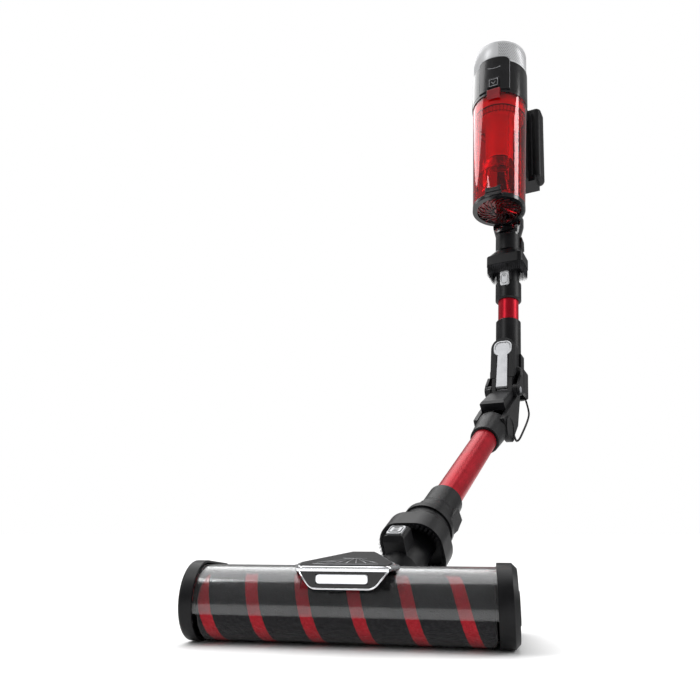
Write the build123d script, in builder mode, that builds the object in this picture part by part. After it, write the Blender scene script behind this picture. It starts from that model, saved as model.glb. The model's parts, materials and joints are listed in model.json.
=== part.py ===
"""Cordless stick vacuum with a folding wand, soft-roller floor head and clear dust bin.

Row frame: origin under the middle of the felt strip on the floor, +X to the head's right,
+Y from the roller towards the wand, +Z up.  Wand pieces are built on two planes whose local z
runs along the wand, local x along the fold hinge and local -y towards the wand's front.
"""

import os
from math import asin, cos, degrees, hypot, radians, sin, tan

from build123d import *

os.makedirs("parts", exist_ok=True)

# ---- driving dimensions (mm, degrees) -------------------------------------------------
GAP = 0.3  # clearance between pieces that move on each other
RUN = 0.05  # radial clearance of a pin in its bore

HEAD_HALF = 119.0  # half the span between the end caps
ROLLER_Y = -40.0
ROLLER_Z = 27.0
ROLLER_R = 26.7
CORE_R = 19.0
WINDOW_R = 30.0  # outside of the clear roller cover
WINDOW_Z = 30.0
CAP_WIDTH = 12.0
AXLE_R = 5.0
WHEEL_R = 9.0
WHEEL_X = 72.0
WHEEL_Y = 47.0
TILT = Vector(12, 72, 20)  # head tilt axis
SWIVEL = Vector(12, 109, 30.5)  # wand swivel axis

WAND_TURN = 18.0  # heading of the wand, from +Y towards +X
LOWER_RISE = 29.28  # lower wand above the floor plane
UPPER_LEAN = 11.0  # upper wand back from vertical
LOWER_LENGTH = 529.6  # swivel to the crossing of the two wand axes
TUBE_R = 17.5
TUBE_WALL = 1.3
SPIGOT_R = 16.0
FLEX_OFFSET = 27.0  # fold axis in front of the wand axes
HOSE_R = 13.0

BIN_Y = -57.0  # bin axis in front of the upper wand axis
LID_Z = 345.0
HINGE_Y, HINGE_Z, HINGE_R, HINGE_HALF = -8.6, 347.0, 2.6, 9.0  # barrel of the bin lid's hinge
BIN_Z0 = 353.3
BIN_Z1 = 577.0
BIN_R0 = 46.0
BIN_R1 = 50.0
HOUSING_Z = 583.3
CAP_Z = 655.3
TOP_Z = 711.0
PORT_Z = 384.0
HOUSING_R = 52.0
FRONT_X = 5.0  # front controls sit this far right of the bin axis

# ---- wand planes --------------------------------------------------------------------
turn = radians(WAND_TURN)
side = Vector(cos(turn), -sin(turn), 0)
ahead = Vector(sin(turn), cos(turn), 0)
up = Vector(0, 0, 1)
lower_dir = ahead * cos(radians(LOWER_RISE)) + up * sin(radians(LOWER_RISE))
upper_dir = ahead * sin(radians(UPPER_LEAN)) + up * cos(radians(UPPER_LEAN))
crossing = SWIVEL + lower_dir * LOWER_LENGTH
LOWER = Plane(origin=SWIVEL, x_dir=side, z_dir=lower_dir)
UPPER = Plane(origin=crossing, x_dir=side, z_dir=upper_dir)
BEND = 90 - LOWER_RISE - UPPER_LEAN
fold_z = FLEX_OFFSET * tan(radians(BEND / 2))
LOWER_FOLD = (-FLEX_OFFSET, LOWER_LENGTH - fold_z)  # fold axis as (y, z) on the lower plane
UPPER_FOLD = (-FLEX_OFFSET, fold_z)

# swivel plane: local z is the swivel axis, local y runs up the neck
neck_rise = degrees(asin(lower_dir.Z / hypot(lower_dir.Y, lower_dir.Z)))
neck_dir = Vector(0, cos(radians(neck_rise)), sin(radians(neck_rise)))
swivel_dir = Vector(0, -sin(radians(neck_rise)), cos(radians(neck_rise)))
NECK = Plane(origin=SWIVEL, x_dir=(1, 0, 0), z_dir=swivel_dir)
SPIN = Plane(origin=(0, ROLLER_Y, ROLLER_Z), x_dir=(0, 1, 0), z_dir=(1, 0, 0))

LOW = (Align.CENTER, Align.CENTER, Align.MIN)


def spot(plane, x=0.0, y=0.0, z=0.0):
    """Location at local coordinates of a plane."""
    return plane.location * Location((x, y, z))


def sheet(plane, dy, dz):
    """Plane of local (y, z) through a wand plane's axis, facing along local x."""
    return Plane(origin=spot(plane, 0, dy, dz).position, x_dir=plane.y_dir, z_dir=plane.x_dir)


def disc(plane, z0, z1, r, x=0.0, y=0.0, mode=Mode.ADD):
    """Round bar between two stations."""
    with Locations(spot(plane, x, y, z0)):
        Cylinder(r, z1 - z0, align=LOW, mode=mode)


def cone(plane, z0, z1, r0, r1, x=0.0, y=0.0, mode=Mode.ADD):
    """Round taper between two stations."""
    with Locations(spot(plane, x, y, z0)):
        Cone(r0, r1, z1 - z0, align=LOW, mode=mode)


def block(plane, xs, ys, zs, mode=Mode.ADD):
    """Box between local limits."""
    with Locations(spot(plane, xs[0], ys[0], zs[0])):
        Box(xs[1] - xs[0], ys[1] - ys[0], zs[1] - zs[0], align=(Align.MIN,) * 3, mode=mode)


def pad(plane, z0, z1, wide, deep, r, x=0.0, y=0.0, mode=Mode.ADD):
    """Rounded rectangle bar between two stations."""
    with BuildSketch(plane.offset(z0)) as outline:
        with Locations((x, y)):
            RectangleRounded(wide, deep, r)
    extrude(outline.sketch, amount=z1 - z0, mode=mode)


def slab(plane, x0, x1, points, mode=Mode.ADD):
    """Plate across local x with a (y, z) outline."""
    with BuildSketch(sheet(plane, 0, 0).offset(x0)) as outline:
        Polygon(*points, align=None)
    extrude(outline.sketch, amount=x1 - x0, mode=mode)


def cross_pin(plane, x0, x1, r, y, z, mode=Mode.ADD):
    """Round bar along local x."""
    with BuildSketch(sheet(plane, y, z).offset(x0)) as outline:
        Circle(r)
    extrude(outline.sketch, amount=x1 - x0, mode=mode)


def save(builder, label):
    builder.part.label = label
    export_step(builder.part, f"parts/{label}.step")


# ======================================================================================
# Floor head
# ======================================================================================
WORLD = Plane.XY
WELL = 6.0  # half width of a wheel well
MOTOR_Y, MOTOR_Z, MOTOR_R = 14.0, 26.0, 15.0
BELT_X0, BELT_X1 = -128.0, -122.0
EAR_IN, EAR_OUT = 15.3, 23.0  # tilt ears, either side of the tilt centre
TILT_PIN_R = 4.0

with BuildPart() as head_chassis:
    section = [(-32, 4), (56, 4), (62, 10), (62, 26), (40, 46), (4, 57), (-24, 59.5), (-32, 50)]
    slab(WORLD, -HEAD_HALF, HEAD_HALF, section)
    cross_pin(WORLD, -HEAD_HALF, HEAD_HALF, WINDOW_R + 0.1, ROLLER_Y, WINDOW_Z, mode=Mode.SUBTRACT)
    block(WORLD, (-HEAD_HALF, HEAD_HALF), (-70, -25), (-5, 25), mode=Mode.SUBTRACT)
    for sx in (-1, 1):
        block(WORLD, (sx * WHEEL_X - WELL, sx * WHEEL_X + WELL), (35, 63), (3, 22), mode=Mode.SUBTRACT)
        cross_pin(WORLD, sx * WHEEL_X - WELL, sx * WHEEL_X + WELL, 2.0, WHEEL_Y, WHEEL_R)
    cross_pin(WORLD, -HEAD_HALF, -30, MOTOR_R + 0.5, MOTOR_Y, MOTOR_Z, mode=Mode.SUBTRACT)
    block(WORLD, (TILT.X - EAR_IN, TILT.X + EAR_IN), (48, 90), (0, 60), mode=Mode.SUBTRACT)
    block(WORLD, (-24, 112), (-6, 32), (8, 42), mode=Mode.SUBTRACT)
    for sx in (-1, 1):
        ear = sorted((TILT.X + sx * EAR_IN, TILT.X + sx * EAR_OUT))
        pin = sorted((TILT.X + sx * (EAR_IN - 6), TILT.X + sx * EAR_IN))
        cross_pin(WORLD, ear[0], ear[1], 11, TILT.Y, TILT.Z)
        block(WORLD, ear, (56, TILT.Y), (9, 31))
        cross_pin(WORLD, pin[0], pin[1], TILT_PIN_R, TILT.Y, TILT.Z)
save(head_chassis, "head_chassis")

with BuildPart() as felt_strip:
    block(WORLD, (-112, 112), (-4, 4), (0, 4))
save(felt_strip, "felt_strip")

PLATE_FRONT, PLATE_BACK = -71.0, 42.0
plate_slope = degrees(asin(7.0 / (PLATE_BACK - PLATE_FRONT)))
deck_up = (0, -sin(radians(plate_slope)), cos(radians(plate_slope)))
deck = Plane(origin=(0, PLATE_FRONT, 59.5), x_dir=(1, 0, 0), z_dir=deck_up)
PLATE_LONG = (PLATE_BACK - PLATE_FRONT) / cos(radians(plate_slope))

with BuildPart() as roller_window:
    with BuildSketch(SPIN.offset(-HEAD_HALF)) as arc:
        with Locations((0, WINDOW_Z - ROLLER_Z)):
            Circle(WINDOW_R)
            Circle(WINDOW_R - 2, mode=Mode.SUBTRACT)
        with Locations((0, -30 - 3.5)):
            Rectangle(90, 60, mode=Mode.SUBTRACT)
        with Locations((18 + 30, 20)):
            Rectangle(60, 80, mode=Mode.SUBTRACT)
    extrude(arc.sketch, amount=2 * HEAD_HALF)
    block(WORLD, (-32, 39), (-80, 0), (43.7, 70), mode=Mode.SUBTRACT)
save(roller_window, "roller_window")

with BuildPart() as top_plate:
    with BuildSketch(deck) as outline:
        Polygon((-31, 0), (37, 0), (39, 22), (10, PLATE_LONG), (-10, PLATE_LONG), (-35, 22), align=None)
    extrude(amount=2.2)
    fillet(top_plate.edges().filter_by(lambda e: abs(e.length - 2.2) < 0.01), 1.5)
save(top_plate, "top_plate")

with BuildPart() as plate_trim:
    with BuildSketch(deck.offset(-2.2)) as outline:
        back = PLATE_LONG + 2
        Polygon((-33, -2), (39, -2), (44, 24), (13, back), (-13, back), (-41, 24), align=None)
    extrude(amount=2.15)
    cross_pin(WORLD, -60, 60, WINDOW_R + 0.05, ROLLER_Y, WINDOW_Z, mode=Mode.SUBTRACT)
    section = [(-24.05, 0), (62, 0), (62, 26), (40, 46.1), (4, 57.1), (-24.05, 59.55)]
    slab(WORLD, -60, 60, section, mode=Mode.SUBTRACT)
save(plate_trim, "plate_trim")

with BuildPart() as light_bezel:
    with BuildSketch(Plane(origin=(0, -72, 0), x_dir=(1, 0, 0), z_dir=(0, -1, 0))) as outline:
        Polygon((-31, 57), (38, 57), (27, 44), (-22, 44), align=None)
    extrude(amount=-22)
    cross_pin(WORLD, -60, 60, ROLLER_R + 1.2, ROLLER_Y, ROLLER_Z, mode=Mode.SUBTRACT)
    block(WORLD, (-18.2, 22.7), (-73, -68), (48, 55), mode=Mode.SUBTRACT)
save(light_bezel, "light_bezel")

with BuildPart() as light_bar:
    block(WORLD, (-18, 22.5), (-71.6, -68.05), (48.2, 54.8))
    fillet(light_bar.edges().filter_by(Axis.Y), 2.5)
save(light_bar, "light_bar")


def cap_outline():
    """Side outline of an end cap in the (y, z) plane of the head."""
    with Locations((ROLLER_Y, 31.8)):
        Circle(31.5)
    Polygon((ROLLER_Y, 0.3), (54, 2), (63, 11), (63, 27), (41, 47.5), (5, 59), (ROLLER_Y, 63.3), align=None)


with BuildPart() as end_cap_left:
    with BuildSketch(Plane.YZ.offset(-HEAD_HALF - CAP_WIDTH)) as outline:
        cap_outline()
    extrude(amount=CAP_WIDTH - 0.05)
    fillet(end_cap_left.faces().sort_by(Axis.X)[0].edges(), 3)
    with BuildSketch(Plane.YZ.offset(-HEAD_HALF - CAP_WIDTH + 2)) as hollow:
        cap_outline()
        offset(amount=-2.0)
    extrude(amount=CAP_WIDTH, mode=Mode.SUBTRACT)
    cross_pin(WORLD, -130, -128.4, 9, ROLLER_Y, ROLLER_Z)
    cross_pin(WORLD, -129.9, -120, AXLE_R + RUN, ROLLER_Y, ROLLER_Z, mode=Mode.SUBTRACT)
save(end_cap_left, "end_cap_left")

RIGHT_FACE = HEAD_HALF + CAP_WIDTH + 3.5
with BuildPart() as end_cap_right:
    with BuildSketch(Plane.YZ.offset(HEAD_HALF + 0.05)) as outline:
        cap_outline()
    extrude(amount=RIGHT_FACE - HEAD_HALF - 0.05)
    chamfer(end_cap_right.faces().sort_by(Axis.X)[-1].edges(), 4)
    cross_pin(WORLD, HEAD_HALF - 1, 129, AXLE_R + RUN, ROLLER_Y, ROLLER_Z, mode=Mode.SUBTRACT)
    pad(Plane.YZ, RIGHT_FACE - 4.5, RIGHT_FACE + 1, 12.6, 26.6, 6.2, ROLLER_Y - 10, 31, mode=Mode.SUBTRACT)
save(end_cap_right, "end_cap_right")

with BuildPart() as roller_release:
    pad(Plane.YZ, RIGHT_FACE - 2.8, RIGHT_FACE + 1.0, 12.0, 26.0, 5.9, ROLLER_Y - 10, 31)
    fillet(roller_release.faces().sort_by(Axis.X)[-1].edges(), 1.2)
save(roller_release, "roller_release")

with BuildPart() as roller_core:
    disc(SPIN, -HEAD_HALF + 1.5, HEAD_HALF - 1.5, CORE_R)
    disc(SPIN, -HEAD_HALF + 3.5, HEAD_HALF - 3.5, CORE_R - 2.5, mode=Mode.SUBTRACT)
    disc(SPIN, -129.6, -HEAD_HALF + 2, AXLE_R)
    disc(SPIN, BELT_X0 + 0.2, BELT_X1 - 0.2, 12)
    disc(SPIN, HEAD_HALF - 2, 128, AXLE_R)
save(roller_core, "roller_core")

with BuildPart() as roller_velour:
    disc(SPIN, -HEAD_HALF + 1.5, HEAD_HALF - 1.5, ROLLER_R)
    disc(SPIN, -HEAD_HALF, HEAD_HALF, CORE_R, mode=Mode.SUBTRACT)
save(roller_velour, "roller_velour")

with BuildPart() as head_motor:
    cross_pin(WORLD, -112, -38, MOTOR_R, MOTOR_Y, MOTOR_Z)
    cross_pin(WORLD, -129, -112, 2.0, MOTOR_Y, MOTOR_Z)
save(head_motor, "head_motor")

with BuildPart() as motor_pulley:
    cross_pin(WORLD, BELT_X0 + 0.2, BELT_X1 - 0.2, 6, MOTOR_Y, MOTOR_Z)
    cross_pin(WORLD, BELT_X0, BELT_X1, 2.0 + RUN, MOTOR_Y, MOTOR_Z, mode=Mode.SUBTRACT)
save(motor_pulley, "motor_pulley")

# belt round both pulleys, with its two runs along their outer tangents
BELT_IN = 0.3
belt_span = hypot(MOTOR_Y - ROLLER_Y, MOTOR_Z - ROLLER_Z)
belt_dir = Vector(0, MOTOR_Y - ROLLER_Y, MOTOR_Z - ROLLER_Z).normalized()
belt_plane = Plane(origin=(BELT_X0 + 0.5, ROLLER_Y, ROLLER_Z), x_dir=belt_dir, z_dir=(1, 0, 0))
with BuildPart() as drive_belt:
    for grow, mode in ((1.8, Mode.ADD), (BELT_IN, Mode.SUBTRACT)):
        big, small = 12 + grow, 6 + grow
        lean = asin((big - small) / belt_span)
        with BuildSketch(belt_plane) as loop:
            Circle(big)
            with Locations((belt_span, 0)):
                Circle(small)
            Polygon(
                (big * sin(lean), big * cos(lean)),
                (belt_span + small * sin(lean), small * cos(lean)),
                (belt_span + small * sin(lean), -small * cos(lean)),
                (big * sin(lean), -big * cos(lean)),
                align=None,
            )
        extrude(loop.sketch, amount=5, mode=mode)
save(drive_belt, "drive_belt")

for name, sx in (("wheel_left", -1), ("wheel_right", 1)):
    with BuildPart() as wheel:
        cross_pin(WORLD, sx * WHEEL_X - 5, sx * WHEEL_X + 5, WHEEL_R, WHEEL_Y, WHEEL_R)
        fillet(wheel.edges(), 1.2)
        bore = 2.0 + RUN
        cross_pin(WORLD, sx * WHEEL_X - 6, sx * WHEEL_X + 6, bore, WHEEL_Y, WHEEL_R, mode=Mode.SUBTRACT)
    save(wheel, name)

# ======================================================================================
# Neck and head connector
# ======================================================================================
SWIVEL_R = 13.0
EAR_Z = 11.3
EAR_TOP = 17.0
tilt_y = (TILT - SWIVEL).dot(neck_dir)
tilt_z = (TILT - SWIVEL).dot(swivel_dir)

with BuildPart() as neck_yoke:
    cross_pin(WORLD, TILT.X - EAR_IN + GAP, TILT.X + EAR_IN - GAP, 11.5, TILT.Y, TILT.Z)
    section = [(tilt_y, tilt_z - 9), (-16, -EAR_TOP), (-16, EAR_TOP), (tilt_y, tilt_z + 9)]
    slab(NECK, -SWIVEL_R, SWIVEL_R, section)
    for sz in (-1, 1):
        ear = sorted((sz * EAR_Z, sz * EAR_TOP))
        pin = sorted((sz * (EAR_Z - 6), sz * EAR_Z))
        disc(NECK, ear[0], ear[1], SWIVEL_R)
        block(NECK, (-SWIVEL_R, SWIVEL_R), (-17, 0), ear)
        disc(NECK, pin[0], pin[1], TILT_PIN_R)
    for sx in (-1, 1):
        bore = sorted((TILT.X + sx * (EAR_IN - 7), TILT.X + sx * EAR_IN))
        cross_pin(WORLD, bore[0], bore[1], TILT_PIN_R + RUN, TILT.Y, TILT.Z, mode=Mode.SUBTRACT)
save(neck_yoke, "neck_yoke")

BUTTON_TOP = -38.0
with BuildPart() as head_connector:
    disc(NECK, -EAR_Z + GAP, EAR_Z - GAP, SWIVEL_R)
    block(LOWER, (-9, 9), (-9.2, 9.2), (0, 20))
    cone(LOWER, 15, 34, 16, 21.5)
    disc(LOWER, 34, 64, 21.5)
    disc(LOWER, 64, 98, SPIGOT_R)
    section = [(-12, 34), (BUTTON_TOP + 6, 35), (BUTTON_TOP, 38), (BUTTON_TOP, 57.5), (-12, 58.5)]
    slab(LOWER, -12, 12, section)
    along_wand = head_connector.edges().filter_by(lambda e: abs((e % 0.5).dot(lower_dir)) > 0.99)
    block_edges = along_wand.filter_by(lambda e: e.length > 15 and LOWER.to_local_coords(e @ 0.5).Y < -30)
    fillet(block_edges, 4)
    block(LOWER, (-9.3, 9.3), (BUTTON_TOP - 1, BUTTON_TOP + 5), (39.7, 56.0), mode=Mode.SUBTRACT)
    disc(LOWER, 38, 99, SPIGOT_R - 2.5, mode=Mode.SUBTRACT)
    disc(NECK, -EAR_Z, EAR_Z, TILT_PIN_R + RUN, mode=Mode.SUBTRACT)
save(head_connector, "head_connector")

with BuildPart() as head_release:
    block(LOWER, (-9, 9), (BUTTON_TOP - 2, BUTTON_TOP + 2.5), (40, 55.7))
    fillet(head_release.edges().filter_by(lambda e: abs((e % 0.5).dot(LOWER.y_dir)) > 0.99), 2.5)
    fillet(head_release.faces().sort_by(Axis(origin=SWIVEL, direction=LOWER.y_dir))[0].edges(), 0.8)
save(head_release, "head_release")

# ======================================================================================
# Lower wand
# ======================================================================================
LOWER_TUBE = (150.0, 402.0)
with BuildPart() as lower_sleeve:
    disc(LOWER, 64.3, 128, 20.5)
    disc(LOWER, 127.2, 148, 24)
    cone(LOWER, 148, 156, 24, 21.8)
    disc(LOWER, 156, 189, 21.8)
    slab(LOWER, 14, 26, [(-4, 132), (14, 132), (17, 146), (14, 166), (-4, 162)])
    disc(LOWER, 64, 100, SPIGOT_R + GAP, mode=Mode.SUBTRACT)
    disc(LOWER, 99, 151, 14.5, mode=Mode.SUBTRACT)
    disc(LOWER, LOWER_TUBE[0], 190, TUBE_R, mode=Mode.SUBTRACT)
    fillet(lower_sleeve.edges().group_by(Axis(origin=SWIVEL, direction=lower_dir))[-1], 1)
save(lower_sleeve, "lower_sleeve")

BRUSH_Z = (72.0, 126.7)
with BuildPart() as lower_brush_cup:
    pad(LOWER, BRUSH_Z[0], 100, 74, 68, 27)
    fillet(lower_brush_cup.faces().sort_by(Axis(origin=SWIVEL, direction=lower_dir))[-1].edges(), 4)
    cone(LOWER, 99, 112, 32, 29)
    disc(LOWER, 112, 119, 28.4)
    disc(LOWER, 119, BRUSH_Z[1], 30.5)
    pad(LOWER, BRUSH_Z[0] - 1, 92, 69, 63, 24.5, mode=Mode.SUBTRACT)
    disc(LOWER, 70, 130, 20.5 + GAP, mode=Mode.SUBTRACT)
save(lower_brush_cup, "lower_brush_cup")

with BuildPart() as lower_brush_bristles:
    pad(LOWER, 62.5, 92, 68.8, 62.8, 24.4)
    pad(LOWER, 61, 93, 58, 52, 20, mode=Mode.SUBTRACT)
save(lower_brush_bristles, "lower_brush_bristles")

with BuildPart() as lower_tube:
    disc(LOWER, LOWER_TUBE[0], LOWER_TUBE[1], TUBE_R)
    disc(LOWER, LOWER_TUBE[0] - 1, LOWER_TUBE[1] + 1, TUBE_R - TUBE_WALL, mode=Mode.SUBTRACT)
save(lower_tube, "lower_tube")

CHEEK_IN, CHEEK_OUT = 17.7, 24.0
HUB_R = 10.0
KNUCKLE_Z = (377.0, 428.0)
fold_y, fold_low = LOWER_FOLD
with BuildPart() as lower_knuckle:
    cone(LOWER, KNUCKLE_Z[0], KNUCKLE_Z[1], 21.5, 25)
    fillet(lower_knuckle.edges().group_by(Axis(origin=SWIVEL, direction=lower_dir))[0], 1.5)
    for sx in (-1, 1):
        cheek = sorted((sx * CHEEK_IN, sx * CHEEK_OUT))
        section = [(-18, 415), (16, 415), (26, 440), (20, 478)]
        section += [(-12, 521), (-24, 521), (-19.9, 505), (-19.9, 446)]
        slab(LOWER, *cheek, section)
        slab(LOWER, *cheek, [(-19.9, 504), (-19, 524), (fold_y - 8, fold_low + 6), (fold_y - 8, 506)])
        cross_pin(LOWER, *cheek, HUB_R, fold_y, fold_low)
        cross_pin(LOWER, cheek[0] - 1, cheek[1] + 1, AXLE_R + RUN, fold_y, fold_low, mode=Mode.SUBTRACT)
    cross_pin(LOWER, CHEEK_IN, 26, 20, 6, 432)
    cross_pin(LOWER, 25, 27, 16, 6, 432, mode=Mode.SUBTRACT)
    disc(LOWER, KNUCKLE_Z[0] - 1, LOWER_TUBE[1], TUBE_R, mode=Mode.SUBTRACT)
    disc(LOWER, LOWER_TUBE[1] - 1, 470, HOSE_R + 1.5, mode=Mode.SUBTRACT)
save(lower_knuckle, "lower_knuckle")

with BuildPart() as knuckle_hood:
    slab(LOWER, -19, 19, [(-20, 446), (-33, 444), (-35, 452), (-31, 502), (-25, 503), (-20, 500)])
    long_edges = knuckle_hood.edges().filter_by(lambda e: abs((e % 0.5).dot(side)) < 0.2 and e.length > 30)
    fillet(long_edges.filter_by(lambda e: LOWER.to_local_coords(e @ 0.5).Y < -28), 3)
save(knuckle_hood, "knuckle_hood")

# hose: straight, one arc round the fold axis, straight
hose_start = spot(LOWER, 0, 0, 404).position
hose_bend0 = spot(LOWER, 0, 0, fold_low).position
hose_bend1 = spot(UPPER, 0, 0, fold_z).position
hose_end = spot(UPPER, 0, 0, 88).position
fold_point = spot(UPPER, 0, UPPER_FOLD[0], UPPER_FOLD[1]).position
mid_dir = ((hose_bend0 - fold_point) + (hose_bend1 - fold_point)).normalized()
with BuildPart() as flex_hose:
    with BuildLine() as route:
        Line(hose_start, hose_bend0)
        ThreePointArc(hose_bend0, fold_point + mid_dir * FLEX_OFFSET, hose_bend1)
        Line(hose_bend1, hose_end)
    with BuildSketch(Plane(origin=hose_start, x_dir=side, z_dir=lower_dir)):
        Circle(HOSE_R)
        Circle(HOSE_R - 1.5, mode=Mode.SUBTRACT)
    sweep()
save(flex_hose, "flex_hose")

# signal cable beside the hose, on the right of the fold
CABLE_R = 1.6
cable_points = [
    spot(LOWER, 28.6, 16, 431).position,
    spot(LOWER, 26.5, 37, 450).position,
    spot(LOWER, 25, 40, 478).position,
    spot(UPPER, 24, 38, -12).position,
    spot(UPPER, 22, 26, 13.3).position,
]
cable_runs = [(b - a).length for a, b in zip(cable_points, cable_points[1:])]
cable_radii = []
for i in range(1, len(cable_points) - 1):
    bend = (cable_points[i] - cable_points[i - 1]).get_angle(cable_points[i + 1] - cable_points[i])
    cable_radii.append(0.45 * min(cable_runs[i - 1], cable_runs[i]) / tan(radians(bend / 2)))
with BuildPart() as flex_cable:
    with BuildLine() as route:
        FilletPolyline(*cable_points, radius=cable_radii)
    with BuildSketch(Plane(origin=route.line @ 0, z_dir=route.line % 0)):
        Circle(CABLE_R)
    sweep()
save(flex_cable, "flex_cable")

# ======================================================================================
# Upper wand
# ======================================================================================
BARREL_Z = (14.0, 58.0)
BARREL_HALF = 29.0
UPPER_TUBE = (92.0, 216.0)
FORK_IN, FORK_OUT = CHEEK_OUT + GAP, 28.5
with BuildPart() as upper_knuckle:
    pad(UPPER, BARREL_Z[0], BARREL_Z[1], 2 * BARREL_HALF, 50, 15, y=4)
    fillet(upper_knuckle.faces().sort_by(Axis(origin=crossing, direction=upper_dir))[-1].edges(), 4)
    block(UPPER, (-FORK_IN, FORK_IN), (-30, 23), (BARREL_Z[0] - 1, 50), mode=Mode.SUBTRACT)
    block(UPPER, (-20.2, 20.2), (-30, -14.4), (49, 60), mode=Mode.SUBTRACT)
    for sx in (-1, 1):
        fork = sorted((sx * FORK_IN, sx * FORK_OUT))
        slab(UPPER, *fork, [(-36, 8), (-18, 8), (0, 16), (0, 40), (-21, 40), (-34, 22)])
        cross_pin(UPPER, *fork, HUB_R, *UPPER_FOLD)
        cross_pin(UPPER, fork[0] - 1, fork[1] + 1, AXLE_R, *UPPER_FOLD, mode=Mode.SUBTRACT)
    block(UPPER, (14, 23.5), (-6, 12), (57.9, 85))
    disc(UPPER, 58.05, 90, 21, mode=Mode.SUBTRACT)
    disc(UPPER, 49, 60, HOSE_R + 1, mode=Mode.SUBTRACT)
save(upper_knuckle, "upper_knuckle")

with BuildPart() as flex_pins:
    for sx in (-1, 1):
        pin = sorted((sx * CHEEK_IN, sx * (FORK_OUT + 0.4)))
        cross_pin(UPPER, *pin, AXLE_R, *UPPER_FOLD)
save(flex_pins, "flex_pins")

LEVER_PIN = (-33.0, 15.0)
FACE = Plane(origin=crossing, x_dir=side, z_dir=side.cross(upper_dir))  # faces the wand's front
LEVER_HEAD_Z = 88.0


def arch(half, z0, z1):
    """Front outline with square bottom corners and a round top."""
    with Locations((0, (z0 + z1 - half) / 2)):
        Rectangle(2 * half, z1 - half - z0)
    with Locations((0, z1 - half)):
        Circle(half)


with BuildPart() as lever_channel:
    slab(UPPER, -17, 17, [(-37.5, 5), (-21, 5), (-14.5, 22), (-14.5, 49.9), (-31, 49.9)])
    section = [(-34, 34), (-14.5, 49.9), (-14.5, 58.1), (-10, 60), (-10, 110), (-29, 110), (-30.5, 100)]
    slab(UPPER, -20, 20, section)
    with BuildSketch(FACE) as front:
        arch(20, 0, 108)
    extrude(front.sketch, amount=60, mode=Mode.INTERSECT)
    disc(UPPER, 58, 120, 21, mode=Mode.SUBTRACT)
    disc(UPPER, 0, 120, HOSE_R + 1, mode=Mode.SUBTRACT)
    slab(UPPER, -9.9, 9.9, [(-60, 22), (-60, 76), (-26.2, 76), (-29.5, 22)], mode=Mode.SUBTRACT)
    with BuildSketch(FACE.offset(26.4)) as front:
        with Locations((0, LEVER_HEAD_Z)):
            RectangleRounded(31.4, 27.4, 11)
    extrude(front.sketch, amount=40, mode=Mode.SUBTRACT)
    block(UPPER, (-9.9, 9.9), (-60, -28.5), (9, 24), mode=Mode.SUBTRACT)
    cross_pin(UPPER, -9.9, 9.9, 2.0, *LEVER_PIN)
save(lever_channel, "lever_channel")

with BuildPart() as flex_lever:
    section = [(-37.3, 17), (-31, 10.5), (-30, 24), (-28.0, 74), (-27.3, 102), (-30.6, 102), (-33.0, 72)]
    slab(UPPER, -15.4, 15.4, section)
    with BuildSketch(FACE) as front:
        with Locations((0, LEVER_HEAD_Z)):
            RectangleRounded(30.6, 26.6, 10.6)
        Polygon((-9.4, 0), (9.4, 0), (8.2, 80), (-8.2, 80), align=None)
    extrude(front.sketch, amount=60, mode=Mode.INTERSECT)
    cross_pin(UPPER, -10, 10, 2.0 + RUN, *LEVER_PIN, mode=Mode.SUBTRACT)
save(flex_lever, "flex_lever")

with BuildPart() as upper_sleeve:
    disc(UPPER, 58.1, 151, 21)
    chamfer(upper_sleeve.edges().group_by(Axis(origin=crossing, direction=upper_dir))[-1], 2)
    disc(UPPER, UPPER_TUBE[0], 152, TUBE_R, mode=Mode.SUBTRACT)
    disc(UPPER, 57, UPPER_TUBE[0] + 1, HOSE_R + 1, mode=Mode.SUBTRACT)
save(upper_sleeve, "upper_sleeve")

with BuildPart() as upper_tube:
    disc(UPPER, UPPER_TUBE[0], UPPER_TUBE[1], TUBE_R)
    disc(UPPER, UPPER_TUBE[0] - 1, UPPER_TUBE[1] + 1, TUBE_R - TUBE_WALL, mode=Mode.SUBTRACT)
save(upper_tube, "upper_tube")

BUTTON_Y = -24.0
BUTTON_Z = (213.0, 242.0)
with BuildPart() as upper_collar:
    disc(UPPER, 190, 224, 22.3)
    chamfer(upper_collar.edges().group_by(Axis(origin=crossing, direction=upper_dir))[0], 2.5)
    disc(UPPER, 189, UPPER_TUBE[1], TUBE_R, mode=Mode.SUBTRACT)
    disc(UPPER, 215, 225, 15, mode=Mode.SUBTRACT)
    block(UPPER, (-8.4, 8.4), (-30, -17.4), (BUTTON_Z[0] - GAP, 225), mode=Mode.SUBTRACT)
save(upper_collar, "upper_collar")

NECK_Z = 321.0
with BuildPart() as wand_connector:
    disc(UPPER, 224.05, 291, 19)
    disc(UPPER, 290, NECK_Z, 22.8)
    slab(UPPER, 15, 26, [(-6, 296), (12, 296), (10, 314), (-4, 318)])
    disc(UPPER, 320, 340, SPIGOT_R)
    block(UPPER, (-10.5, 10.5), (-22.4, -12), (224.05, 245))
    block(UPPER, (-8.4, 8.4), (-30, -17.4), (224, BUTTON_Z[1] + GAP), mode=Mode.SUBTRACT)
    disc(UPPER, 223, 351, 13.5, mode=Mode.SUBTRACT)
save(wand_connector, "wand_connector")

with BuildPart() as wand_release:
    block(UPPER, (-8, 8), (BUTTON_Y, BUTTON_Y + 4.6), BUTTON_Z)
    fillet(wand_release.edges().filter_by(lambda e: abs((e % 0.5).dot(UPPER.y_dir)) > 0.99), 4)
    fillet(wand_release.faces().sort_by(Axis(origin=crossing, direction=UPPER.y_dir))[0].edges(), 1)
save(wand_release, "wand_release")

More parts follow.
